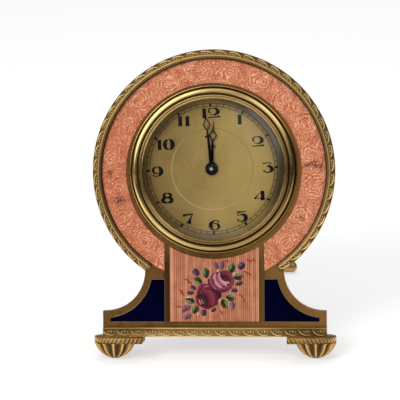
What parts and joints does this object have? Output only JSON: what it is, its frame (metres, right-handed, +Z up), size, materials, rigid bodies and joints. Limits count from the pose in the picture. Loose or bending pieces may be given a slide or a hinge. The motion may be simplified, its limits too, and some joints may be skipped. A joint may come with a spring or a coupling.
{
  "type": "table clock",
  "caption": "Small gilt and enamel desk clock: round head on a hollow-sided base with bun feet, a key-wound movement in a drum and a folding strut back.",
  "frame": {"origin": "on the table under the middle of the clock's footprint", "axes": "+Z up, the dial faces -Y and leans back, +X to the right seen from the front"},
  "size_m": [0.0714, 0.074, 0.0875],
  "materials": {
    "gilt": "aged matt gilding",
    "polished_gilt": "polished gilding",
    "brass": "grained brass",
    "dial_gilt": "pale satin gilding",
    "pink_enamel": "translucent enamel over engine turning",
    "blue_enamel": "translucent enamel over engine turning",
    "glass": "polished",
    "steel": "polished",
    "blued_steel": "blued"
  },
  "bodies": {
    "case": {"front_plate": "gilt", "rim_moulding": "gilt", "base_moulding": "gilt", "ring_enamel": "pink_enamel", "centre_enamel": "pink_enamel", "left_enamel": "blue_enamel", "right_enamel": "blue_enamel", "foot_left": "gilt", "foot_right": "gilt", "bezel": "polished_gilt", "glass": "glass", "glass_ring": "brass", "dial": "dial_gilt", "drum": "gilt", "drum_screws": "steel", "back_cover": "gilt", "strut_bracket": "gilt", "bracket_screws": "steel", "strut_pin": "steel", "main_plate": "brass", "back_plate": "brass", "pillars": "brass", "plate_screws": "blued_steel", "movement_screws": "blued_steel", "click_spring": "blued_steel", "balance_cock": "brass", "minute_post": "steel", "click_screw": "blued_steel", "cock_screw": "blued_steel"},
    "strut": {"strut_arm": "gilt", "strut_foot_bar": "gilt"},
    "centre": {"minute_hand": "blued_steel", "hand_collet": "blued_steel", "centre_wheel": "brass", "cannon_pinion": "steel", "setting_knob": "gilt"},
    "hour": {"hour_hand": "blued_steel", "hour_wheel": "brass"},
    "minute_wheel": {"minute_wheel": "brass"},
    "third": {"third_wheel": "brass"},
    "fourth": {"fourth_wheel": "brass"},
    "escape": {"escape_wheel": "steel"},
    "intermediate": {"intermediate_wheel": "brass"},
    "barrel": {"barrel": "brass", "barrel_cover": "brass", "mainspring": "blued_steel"},
    "winding": {"winding_key": "gilt", "barrel_arbor": "steel", "ratchet_wheel": "steel"},
    "click": {"click": "steel"},
    "pallet": {"pallet_fork": "steel"},
    "balance": {"balance_wheel": "brass", "hairspring": "blued_steel"},
    "regulator": {"regulator_lever": "steel"}
  },
  "joints": [
    {"name": "strut_hinge", "type": "hinge", "parent": "case", "child": "strut", "pos_m": [0, 0.01018, 0.06537], "axis": [1, 0, 0], "range_deg": [-39, 0]},
    {"name": "centre_turn", "type": "hinge", "parent": "case", "child": "centre", "pos_m": [-0.0006, -0.00466, 0.04956], "axis": [0, -0.9537, 0.3007], "continuous": true},
    {"name": "hour_turn", "type": "hinge", "parent": "case", "child": "hour", "pos_m": [-0.0006, -0.00466, 0.04956], "axis": [0, -0.9537, 0.3007], "continuous": true},
    {"name": "minute_wheel_turn", "type": "hinge", "parent": "case", "child": "minute_wheel", "pos_m": [0.0018, -0.00341, 0.05352], "axis": [0, -0.9537, 0.3007], "continuous": true},
    {"name": "third_turn", "type": "hinge", "parent": "case", "child": "third", "pos_m": [0.00447, -0.00522, 0.04779], "axis": [0, -0.9537, 0.3007], "continuous": true},
    {"name": "fourth_turn", "type": "hinge", "parent": "case", "child": "fourth", "pos_m": [0.00562, -0.0065, 0.04372], "axis": [0, -0.9537, 0.3007], "continuous": true},
    {"name": "escape_turn", "type": "hinge", "parent": "case", "child": "escape", "pos_m": [0.0019, -0.00691, 0.04243], "axis": [0, -0.9537, 0.3007], "continuous": true},
    {"name": "intermediate_turn", "type": "hinge", "parent": "case", "child": "intermediate", "pos_m": [-0.00646, -0.00531, 0.04752], "axis": [0, -0.9537, 0.3007], "continuous": true},
    {"name": "barrel_turn", "type": "hinge", "parent": "case", "child": "barrel", "pos_m": [-0.00646, -0.00271, 0.05576], "axis": [0, -0.9537, 0.3007], "continuous": true},
    {"name": "winding_turn", "type": "hinge", "parent": "case", "child": "winding", "pos_m": [-0.00646, -0.00271, 0.05576], "axis": [0, -0.9537, 0.3007], "continuous": true, "deforming": ["mainspring"]},
    {"name": "click_lift", "type": "hinge", "parent": "case", "child": "click", "pos_m": [-0.01114, -0.0019, 0.05834], "axis": [0, -0.9537, 0.3007], "range_deg": [-8, 0]},
    {"name": "pallet_swing", "type": "hinge", "parent": "case", "child": "pallet", "pos_m": [-0.00151, -0.00709, 0.04186], "axis": [0, -0.9537, 0.3007], "range_deg": [-5, 5]},
    {"name": "balance_swing", "type": "hinge", "parent": "case", "child": "balance", "pos_m": [-0.00585, -0.00732, 0.04113], "axis": [0, -0.9537, 0.3007], "range_deg": [-270, 270], "deforming": ["hairspring"]},
    {"name": "regulator_turn", "type": "hinge", "parent": "case", "child": "regulator", "pos_m": [-0.00585, -0.00732, 0.04113], "axis": [0, -0.9537, 0.3007], "range_deg": [-15, 15]}
  ],
  "couplings": [
    {"joint": "hour_turn", "follows": "centre_turn", "ratio": 0.083333},
    {"joint": "minute_wheel_turn", "follows": "centre_turn", "ratio": -0.33333},
    {"joint": "third_turn", "follows": "centre_turn", "ratio": -8},
    {"joint": "fourth_turn", "follows": "centre_turn", "ratio": 60},
    {"joint": "escape_turn", "follows": "centre_turn", "ratio": -600},
    {"joint": "intermediate_turn", "follows": "centre_turn", "ratio": -0.18182},
    {"joint": "barrel_turn", "follows": "centre_turn", "ratio": 0.025974}
  ]
}
